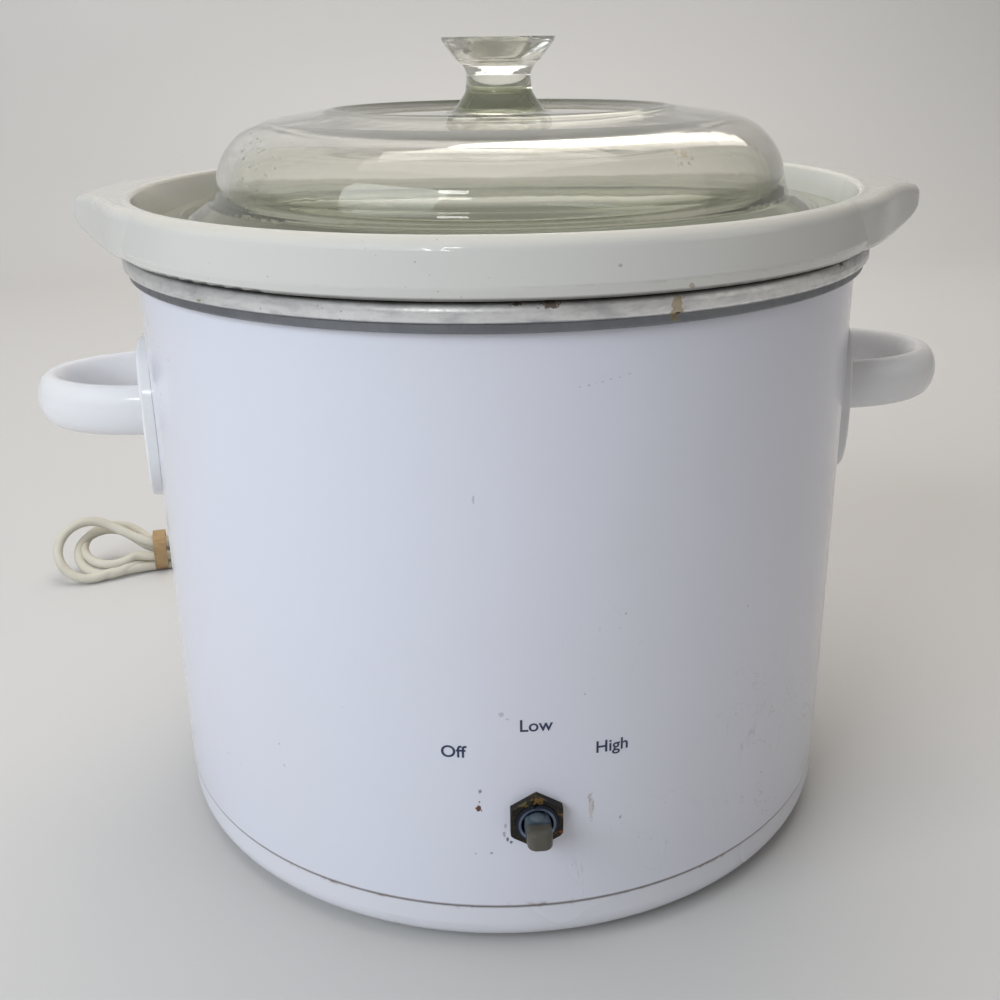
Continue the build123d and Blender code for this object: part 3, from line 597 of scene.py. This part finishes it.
def leverPlastic():
    finish = Finish("leverPlastic", (0.062, 0.058, 0.043), 0.34)
    # how far out from the wrap: the blue ball, painted shade in the crease where it meets the paddle, the
    # tip paler with painted light
    out = finish.maths("SUBTRACT", -shellRadius, finish.along("Y"))
    ball = finish.ramp(out, 7.3 * mm, 6.6 * mm)
    finish.tint(ball, (0.075, 0.105, 0.140), 0.95)
    # painted shade in the crease where the ball meets the paddle
    line = finish.between(out, 5.8 * mm, 6.6 * mm, 6.8 * mm, 7.4 * mm)
    finish.tint(line, (0.02, 0.025, 0.035), 0.8)
    # painted light: the tip is paler where the top face catches the lamp
    tip = finish.ramp(out, 9.2 * mm, 10.8 * mm)
    finish.tint(tip, (0.095, 0.090, 0.070), 0.6)
    worn = finish.ramp(finish.noise(260.0, 4.0), 0.48, 0.72)
    finish.tint(worn, (0.10, 0.095, 0.075), 0.35)
    finish.roughen(worn, 0.12)
    finish.bump(finish.noise(800.0, 3.0), 0.12, 0.0002)
    return finish.done()


def darkCase():
    finish = Finish("darkCase", (0.02, 0.02, 0.022), 0.5)
    finish.tint(finish.ramp(finish.noise(150.0, 3.0), 0.5, 0.75), (0.05, 0.045, 0.04), 0.6)
    finish.bump(finish.noise(900.0, 3.0), 0.2, 0.0002)
    return finish.done()


def brassTabs():
    finish = Finish("brassTabs", (0.62, 0.46, 0.22), 0.3, 1.0)
    finish.tint(finish.ramp(finish.noise(300.0, 4.0), 0.45, 0.7), (0.35, 0.25, 0.13), 0.5)
    finish.bump(finish.noise(900.0, 3.0), 0.1, 0.0002)
    return finish.done()


def braidedSleeve():
    finish = Finish("braidedSleeve", (0.62, 0.59, 0.50), 0.75)
    weave = finish.noise(900.0, 2.0)
    finish.tint(finish.ramp(weave, 0.4, 0.6), (0.40, 0.37, 0.30), 0.6)
    finish.bump(weave, 0.5, 0.0003)
    return finish.done()


def footRubber():
    finish = Finish("footRubber", (0.42, 0.42, 0.42), 0.7)
    finish.tint(finish.ramp(finish.noise(120.0, 4.0), 0.45, 0.7), (0.25, 0.24, 0.23), 0.6)
    finish.bump(finish.noise(600.0, 3.0), 0.25, 0.0003)
    return finish.done()


def cordVinyl():
    finish = Finish("cordVinyl", (0.62, 0.59, 0.50), 0.38)
    age = finish.ramp(finish.noise(60.0, 4.0), 0.4, 0.7)
    finish.tint(age, (0.50, 0.46, 0.36), 0.5)
    finish.roughen(age, 0.12)
    finish.bump(finish.noise(400.0, 3.0), 0.12, 0.0003)
    return finish.done()


def tieWrap():
    finish = Finish("tieWrap", (0.38, 0.25, 0.12), 0.6)
    fibres = finish.noise(260.0, 4.0, 0.6, 0.3, (0.4, 1, 1))
    finish.tint(finish.ramp(fibres, 0.42, 0.66), (0.22, 0.13, 0.06), 0.6)
    finish.bump(fibres, 0.4, 0.0004)
    return finish.done()


glass = {
    "shift": nodeMiddle("lid").x,
    # where the knob's olive neck starts and ends, and how wide it is
    "neckHeight": (224.8 * mm, 226.2 * mm, 231.2 * mm, 233.5 * mm),
    "neckRadius": (17.0 * mm, 14.5 * mm),
    # where the painted shade low on the lid ends, and how much its edge wavers
    "lowShadeEdge": (209.8 * mm, 207.6 * mm),
    "lowShadeWaves": 2.4 * mm,
    "recessRadius": 52.4 * mm,
    "recessShadeWidth": (2.8 * mm, 1.6 * mm),
    "crownFrom": (220.0 * mm, 221.5 * mm),
    # turn, height, distance from the axis, size, amount
    "stains": [
        (31.0, 216.2, 83.0, 2.8, 0.55),
        (31.5, 214.0, 84.5, 1.8, 0.5),
    ],
    "speckPatch": (-48.0, 221.5, 76.0, 30.0),
}


def clearGlass():
    finish = Finish("clearGlass", (0.965, 0.95, 0.89), 0.012)
    finish.set("Transmission Weight", 0.93)
    finish.set("IOR", 1.5)
    height = finish.along("Z")
    # the thick neck of the knob and the flange look olive green
    neck = finish.between(height, *glass["neckHeight"])
    fromKnob = finish.fromUpright(glass["shift"])
    near = finish.ramp(fromKnob, *glass["neckRadius"])
    finish.tint(finish.maths("MULTIPLY", neck, near), (0.30, 0.34, 0.19), 0.9)
    # painted shade: the glass low on the lid is darker under a wavy edge, for the shaded crock seen
    # through the flare
    wavy = finish.maths("MULTIPLY", finish.noise(16.0, 4.0), glass["lowShadeWaves"])
    low = finish.ramp(finish.maths("ADD", height, wavy), *glass["lowShadeEdge"])
    finish.tint(low, (0.52, 0.53, 0.44), 0.85)
    # painted shade: a dark line round the recess in the crown
    ring = finish.maths("SUBTRACT", fromKnob, glass["recessRadius"])
    ring = finish.ramp(finish.maths("ABSOLUTE", ring), *glass["recessShadeWidth"])
    ring = finish.maths("MULTIPLY", ring, finish.ramp(height, *glass["crownFrom"]))
    finish.tint(ring, (0.20, 0.22, 0.14), 0.95)
    haze = finish.ramp(finish.noise(22.0, 5.0, 0.6), 0.46, 0.72)
    finish.roughen(haze, 0.07)
    for turn, z, radius, size, amount in glass["stains"]:
        spot = finish.spot(onShell(turn, z * mm, radius * mm), size * mm, 0.8, 600.0)
        finish.tint(spot, (0.50, 0.38, 0.14), amount)
        finish.roughen(spot, 0.35)
    specks = finish.group(speckle, Scale=330.0, Amount=0.75, Patches=14.0)
    turn, z, radius, size = glass["speckPatch"]
    patch = finish.spot(onShell(turn, z * mm, radius * mm), size * mm, 0.4, 60.0, (1.3, 1, 0.6))
    specks = finish.maths("MULTIPLY", specks, patch)
    finish.tint(specks, (0.30, 0.26, 0.18), 0.8)
    finish.roughen(specks, 0.5)
    finish.waves(30.0, 90.0, 0.4, 0.10, 0.0006)
    # light falls through the glass onto what is under it
    rays = finish.tree.nodes.new("ShaderNodeLightPath")
    lit = finish.maths("MULTIPLY", rays.outputs["Is Shadow Ray"], 0.85)
    finish.tree.links.new(finish.maths("SUBTRACT", 1.0, lit), finish.shader.inputs["Alpha"])
    return finish.done()


def letteringInk():
    finish = Finish("letteringInk", (0.022, 0.035, 0.085), 0.35)
    finish.tint(finish.ramp(finish.noise(700.0, 3.0), 0.55, 0.75), (0.10, 0.12, 0.18), 0.4)
    return finish.done()


finishes = {
    "painted_steel": paintedSteel(),
    "white_base": whiteBase(),
    "white_handle": whiteHandle(),
    "aluminium_band": rolledAluminium(),
    "heater_foil": heaterFoil(),
    "plated_steel": platedSteel(),
    "rusty_nut": rustyNut(),
    "blue_bushing": bluedBushing(),
    "switch_case": darkCase(),
    "lever_plastic": leverPlastic(),
    "brass_tabs": brassTabs(),
    "lead_cover": braidedSleeve(),
    "cord_cover": cordVinyl(),
    "tie_wrap": tieWrap(),
    "foot_rubber": footRubber(),
    "stoneware": stoneware(),
    "clear_glass": clearGlass(),
}
for entry in frame["record"]["subparts"]:
    piece = nodes[entry["node"]]
    piece.data.materials.clear()
    piece.data.materials.append(finishes[entry["material_slot"]])
print("stage: finishes")

switchPlan = {
    "bushingRadius": 5.9 * mm,
    "ringRadius": 5.2 * mm,
    "boreRadius": 4.35 * mm,
    "mouth": 3.3 * mm,  # beyond the wrap
    "bevel": 0.35 * mm,
    "keyWidth": 1.8 * mm,
    "keyDepth": 1.0 * mm,
    "keyLength": 9.0 * mm,
    "boreDepth": 4.2 * mm,
    "pivotOut": 3.4 * mm,  # the ball's middle, beyond the wrap
    "rootBack": 1.5 * mm,  # the paddle's root, behind the ball's middle
    "leverWidth": 6.9 * mm,
    "leverThickness": 5.5 * mm,
    "leverCorner": 2.5 * mm,
    "leverEdge": 1.0 * mm,
    "ballRadius": 3.6 * mm,
    "ballBack": 2.5 * mm,  # the ball is open beyond this
}


def clearPicks(kind):
    bpy.ops.object.mode_set(mode="EDIT")
    bpy.ops.mesh.select_mode(type=kind)
    bpy.ops.mesh.select_all(action="DESELECT")
    bpy.ops.object.mode_set(mode="OBJECT")


def pickFaces(piece, test):
    clearPicks("FACE")
    for polygon in piece.data.polygons:
        polygon.select = test(polygon)
    bpy.ops.object.mode_set(mode="EDIT")


def pickEdges(piece, test):
    clearPicks("EDGE")
    points = piece.data.vertices
    for edge in piece.data.edges:
        edge.select = test(*[points[index].co for index in edge.vertices])
    bpy.ops.object.mode_set(mode="EDIT")


def applyPlace(piece):
    makeActive(piece)
    bpy.ops.object.transform_apply(location=True, rotation=True, scale=True)


def smoothAndPaint(piece, angleDeg, slot):
    makeActive(piece)
    bpy.ops.object.shade_smooth_by_angle(angle=math.radians(angleDeg))
    piece.data.materials.append(finishes[slot])


def makeBushing():
    plan = switchPlan
    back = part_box("switch_bushing")[1].y
    front = -(shellRadius + plan["mouth"]) + plan["bevel"]
    deselectAll()
    bpy.ops.mesh.primitive_cylinder_add(vertices=96, radius=plan["bushingRadius"], depth=back - front,
                                        location=(0, (back + front) / 2, switchHeight),
                                        rotation=(math.pi / 2, 0, 0))
    bushing = bpy.context.object
    bushing.name = "switchBushing"
    applyPlace(bushing)
    pickFaces(bushing, lambda polygon: polygon.normal.y < -0.9)
    bpy.ops.mesh.extrude_region_move(TRANSFORM_OT_translate={"value": (0, -plan["bevel"], 0)})
    share = plan["ringRadius"] / plan["bushingRadius"]
    bpy.ops.transform.resize(value=(share, 1, share), center_override=(0, front, switchHeight))
    bpy.ops.mesh.inset(thickness=plan["ringRadius"] - plan["boreRadius"])
    bpy.ops.mesh.extrude_region_move(TRANSFORM_OT_translate={"value": (0, plan["boreDepth"], 0)})
    bpy.ops.object.mode_set(mode="OBJECT")
    deselectAll()
    top = switchHeight + plan["bushingRadius"]
    bpy.ops.mesh.primitive_cube_add(size=1, location=(0, front, top))
    key = bpy.context.object
    key.scale = (plan["keyWidth"], plan["keyLength"], 2 * plan["keyDepth"])
    applyPlace(key)
    makeActive(bushing)
    cut = bushing.modifiers.new("keyway", "BOOLEAN")
    cut.operation = "DIFFERENCE"
    cut.solver = "EXACT"
    cut.object = key
    bpy.ops.object.modifier_apply(modifier=cut.name)
    bpy.data.objects.remove(key)
    smoothAndPaint(bushing, 35, "blue_bushing")
    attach(bushing, "base_unit")
    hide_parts("switch_bushing")


def makeLever():
    plan = switchPlan
    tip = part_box("switch_lever")[0].y
    pivot = -(shellRadius + plan["pivotOut"])
    root = pivot + plan["rootBack"]
    deselectAll()
    bpy.ops.mesh.primitive_cube_add(size=1, location=(0, (tip + root) / 2, switchHeight))
    lever = bpy.context.object
    lever.name = "switchPaddle"
    lever.scale = (plan["leverWidth"], root - tip, plan["leverThickness"])
    applyPlace(lever)
    near = tip + 0.1 * mm
    # the two upright edges at the tip, then the edges round the upper and lower face
    pickEdges(lever, lambda a, b: abs(a.z - b.z) > mm and a.y < near and b.y < near)
    bpy.ops.mesh.bevel(offset=plan["leverCorner"], segments=9, affect="EDGES")
    level = plan["leverThickness"] / 2 - 0.05 * mm
    far = root - 0.1 * mm
    pickEdges(lever, lambda a, b: abs(a.z - switchHeight) > level and abs(a.z - b.z) < 0.01 * mm
              and not (a.y > far and b.y > far))
    bpy.ops.mesh.bevel(offset=plan["leverEdge"], segments=5, affect="EDGES")
    deselectAll()
    bpy.ops.mesh.primitive_uv_sphere_add(segments=48, ring_count=24, radius=plan["ballRadius"],
                                         location=(0, pivot, switchHeight))
    ball = bpy.context.object
    applyPlace(ball)
    pickFaces(ball, lambda polygon: polygon.center.y > pivot + plan["ballBack"])
    bpy.ops.mesh.delete(type="FACE")
    bpy.ops.object.mode_set(mode="OBJECT")
    lever.select_set(True)
    bpy.context.view_layer.objects.active = lever
    bpy.ops.object.join()
    smoothAndPaint(lever, 40, "lever_plastic")
    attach(lever, "lever")
    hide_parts("switch_lever")


makeBushing()
makeLever()
print("stage: switch")

# the cord is wound into a hank behind the cooker
cordPlan = {
    "diameter": 4.6 * mm,
    "route": [
        (0.0, 125.6, 33.0),
        (0.0, 140.6, 33.0),
        (-1.5, 156.0, 21.5),
        (-9.0, 172.0, 7.6),
        (-27.0, 184.5, 2.6),
        (-50.0, 187.0, 3.0),
        (-71.0, 185.5, 4.6),
    ],
    "hankMiddle": (-142.0, 172.0),
    "hankTurnDeg": 10.5,
    "tieAt": -16.0,
    "stations": (26.0, 8.0, -4.0),  # points of a straight strand, from the tie
    "arcSteps": 10,
    "foldLift": 0.7,  # how far a fold's ends follow the strands' heights
    # each turn: side and height under the tie going out and coming back, then the open loop's
    # farthest reach, radius, lean, sideways shift and lowest height
    "turns": [
        ((0.0, 2.7), (4.6, 7.3), (-55.5, 14.3, 30.0, 2.0, 3.0)),
        ((-4.6, 2.7), (0.0, 11.9), (-64.5, 15.4, 46.0, -1.0, 2.4)),
        ((-4.6, 7.3), (4.6, 11.9), (-53.0, 14.3, 22.0, 6.0, 6.6)),
    ],
    "farFolds": [(68.0, 14.6, -8.0, 10.5), (62.5, 14.4, -6.5, 7.6)],
    "tail": [(30.0, 4.4, 8.0), (46.0, 1.5, 3.8), (62.0, -4.5, 3.0), (76.0, -9.4, 3.0), (88.0, -10.4, 4.2),
             (97.0, -7.4, 7.0), (102.6, 0.0, 7.6), (103.0, 9.0, 5.2), (97.5, 16.6, 3.4), (88.0, 19.8, 3.2),
             (76.0, 19.4, 4.2), (62.0, 19.0, 4.9)],
    "plugRear": (51.5, 18.95, 5.0),
}


def hankPoint(along, across, height):
    turn = math.radians(cordPlan["hankTurnDeg"])
    x = cordPlan["hankMiddle"][0] + along * math.cos(turn) - across * math.sin(turn)
    y = cordPlan["hankMiddle"][1] + along * math.sin(turn) + across * math.cos(turn)
    return (x, y, height)


def openLoop(reach, radius, lean, shift, low):
    # a drop-shaped loop: from the near strand round the open end to the far strand
    tilt = math.radians(lean)
    middle = reach + radius
    strandEnd = cordPlan["tieAt"] + cordPlan["stations"][-1]
    spread = math.degrees(math.asin(radius / (strandEnd - middle)))
    steps = cordPlan["arcSteps"]
    points = []
    for step in range(steps + 1):
        turn = math.radians(spread - 90 - (180 + 2 * spread) * step / steps)
        side = radius * math.sin(turn)
        out = middle + radius * math.cos(turn)
        height = low + (side + radius) * math.sin(tilt)
        points.append(hankPoint(out, shift + side * math.cos(tilt), height))
    return points


def farFold(reach, radius, shift, height, fromPlace, toPlace):
    # a round fold at the other end of the hank, along the tangents from both strands
    middle = reach - radius
    angles = []
    for side, place in ((1, fromPlace[0]), (-1, toPlace[0])):
        along = cordPlan["tieAt"] + cordPlan["stations"][0] - middle
        across = place - shift
        away = math.degrees(math.acos(radius / math.hypot(along, across)))
        angles.append(math.degrees(math.atan2(across, along)) % 360 - side * away)
    start, end = angles[0], angles[1] - 360
    steps = cordPlan["arcSteps"]
    half = steps / 2
    points = []
    for step in range(steps + 1):
        turn = math.radians(start + (end - start) * step / steps)
        blend = cordPlan["foldLift"] * abs(step - half) / half
        strand = fromPlace if step < half else toPlace
        lift = height + (strand[1] - height) * blend
        points.append(hankPoint(middle + radius * math.cos(turn), shift + radius * math.sin(turn), lift))
    return points


def underTie(place, leftwards):
    side, height = place
    places = [cordPlan["tieAt"] + step for step in cordPlan["stations"]]
    if not leftwards:
        places.reverse()
    return [hankPoint(along, side, height) for along in places]


def hankRoute():
    points = []
    turns = cordPlan["turns"]
    for index, (going, coming, loop) in enumerate(turns):
        points += underTie(going, True)
        points += openLoop(*loop)
        points += underTie(coming, False)
        if index < len(cordPlan["farFolds"]):
            points += farFold(*cordPlan["farFolds"][index], coming, turns[index + 1][0])
    return points


def cordPoints():
    tail = [hankPoint(*place) for place in cordPlan["tail"]]
    return cordPlan["route"] + hankRoute() + tail + [hankPoint(*cordPlan["plugRear"])]


def makeSpline(name, points):
    data = bpy.data.curves.new(name, "CURVE")
    data.dimensions = "3D"
    spline = data.splines.new("NURBS")
    spline.points.add(len(points) - 1)
    for point, place in zip(spline.points, points):
        point.co = (place[0] * mm, place[1] * mm, place[2] * mm, 1)
    spline.order_u = 3
    spline.use_endpoint_u = True
    data.resolution_u = 8
    piece = bpy.data.objects.new(name, data)
    bpy.context.scene.collection.objects.link(piece)
    return piece


def lineLength(piece):
    mesh = bpy.data.meshes.new_from_object(piece)
    places = [vertex.co.copy() for vertex in mesh.vertices]
    bpy.data.meshes.remove(mesh)
    return sum((after - before).length for before, after in zip(places, places[1:]))


def makeCord():
    cord = makeSpline("powerCord", cordPoints())
    length = round(lineLength(cord), 3)
    cord.data.bevel_depth = cordPlan["diameter"] / 2
    cord.data.bevel_resolution = 4
    cord.data.use_fill_caps = True
    cord.data.materials.append(finishes["cord_cover"])
    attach(cord, "base_unit")
    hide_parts("power_cord", "cord_hank")
    print("cord length", length)


makeCord()
print("stage: cord")

# the heat marks printed round the switch
lettering = {
    "words": [("Off", -11.4, 66.5), ("Low", 0.0, 74.5), ("High", 10.8, 65.8)],
    "capHeight": 3.6 * mm,
    "weight": 0.07 * mm,
    "proud": 0.05 * mm,
    "capShare": 0.7,  # of the font's size
}
ink = letteringInk()


def makeWord(text, turnDeg, height):
    deselectAll()
    bpy.ops.object.text_add(location=(0, 0, 0))
    word = bpy.context.object
    word.data.body = text
    word.data.align_x = "CENTER"
    word.data.align_y = "CENTER"
    word.data.size = lettering["capHeight"] / lettering["capShare"]
    word.data.resolution_u = 6
    word.data.offset = lettering["weight"]
    bpy.ops.object.convert(target="MESH")
    word = bpy.context.object
    word.name = "mark" + text
    radius = shellRadius + lettering["proud"]
    for vertex in word.data.vertices:
        turn = math.radians(turnDeg) + vertex.co.x / radius
        up = vertex.co.y
        vertex.co = (radius * math.sin(turn), -radius * math.cos(turn), height * mm + up)
    word.data.materials.append(ink)
    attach(word, "base_unit")


for text, turnDeg, height in lettering["words"]:
    makeWord(text, turnDeg, height)
print("stage: lettering")

studio = {
    "floorColour": (0.62, 0.61, 0.60),
    "wallDistance": 1.3,
    "wallCurve": 0.35,
    "curveSteps": 16,
    "wallHeight": 2.6,
    "reach": 3.0,  # to the front and to both sides
    "airColour": (0.95, 0.93, 0.90, 1),
    "airStrength": 0.27,
    "aim": (0, 0, 0.12),
    # name, place, aim, width, height, watts, colour, the rays that don't see it
    "lights": [
        ("windowLeft", (-1.15, -0.95, 0.95), None, 1.2, 0.95, 21, (0.86, 0.93, 1.0), "glossy"),
        ("windowShine", (-1.15, -0.95, 0.95), None, 1.2, 0.95, 5.5, (0.86, 0.93, 1.0), "diffuse"),
        ("topSoft", (-0.1, 0.1, 1.5), None, 1.2, 1.2, 6.5, (1.0, 0.97, 0.93), "glossy"),
        ("fillRight", (1.3, -0.6, 0.7), None, 0.8, 0.8, 0.9, (1.0, 0.94, 0.86), None),
        ("backWarm", (0.4, 0.9, 1.0), (0, 0.2, 0.2), 0.8, 0.8, 3, (1.0, 0.95, 0.88), "glossy"),
        ("wallWash", (0.0, 0.6, 1.5), (0, 1.3, 0.5), 1.0, 1.0, 6, (1.0, 0.94, 0.87), "glossy"),
        ("windowGlint", (-0.62, -1.45, 1.05), None, 0.34, 0.16, 2.0, (1.0, 0.99, 0.97), "diffuse"),
    ],
}


def makeBackdrop():
    mesh = bpy.data.meshes.new("backdrop")
    build = bmesh.new()
    depth = studio["wallDistance"]
    curve = studio["wallCurve"]
    outline = [(-studio["reach"], 0.0), (0.0, 0.0), (depth - curve, 0.0)]
    for step in range(1, studio["curveSteps"] + 1):
        turn = math.radians(90 * step / studio["curveSteps"])
        outline.append((depth - curve + curve * math.sin(turn), curve - curve * math.cos(turn)))
    outline.append((depth, studio["wallHeight"]))
    rows = []
    for side in (-studio["reach"], studio["reach"]):
        rows.append([build.verts.new((side, y, z)) for y, z in outline])
    for index in range(len(outline) - 1):
        build.faces.new((rows[0][index], rows[1][index], rows[1][index + 1], rows[0][index + 1]))
    build.to_mesh(mesh)
    build.free()
    for polygon in mesh.polygons:
        polygon.use_smooth = True
    backdrop = bpy.data.objects.new("backdrop", mesh)
    bpy.context.scene.collection.objects.link(backdrop)
    finish = Finish("paleFloor", studio["floorColour"], 0.32)
    finish.roughen(finish.ramp(finish.noise(3.0, 3.0), 0.4, 0.7), 0.1)
    mesh.materials.append(finish.done())


def addLight(name, place, aim, width, height, watts, colour, unseen):
    data = bpy.data.lights.new(name, "AREA")
    data.energy = watts
    data.color = colour
    data.shape = "RECTANGLE"
    data.size = width
    data.size_y = height
    light = bpy.data.objects.new(name, data)
    light.location = place
    towards = Vector(aim or studio["aim"]) - Vector(place)
    light.rotation_euler = towards.to_track_quat("-Z", "Y").to_euler()
    light.visible_glossy = unseen != "glossy"
    light.visible_diffuse = unseen != "diffuse"
    bpy.context.scene.collection.objects.link(light)


def makeLight():
    world = bpy.data.worlds.new("paleRoom")
    world.use_nodes = True
    air = world.node_tree.nodes["Background"]
    air.inputs["Color"].default_value = studio["airColour"]
    air.inputs["Strength"].default_value = studio["airStrength"]
    bpy.context.scene.world = world
    for light in studio["lights"]:
        addLight(*light)


makeBackdrop()
makeLight()
bpy.context.scene.view_settings.view_transform = "Standard"
print("stage: studio")
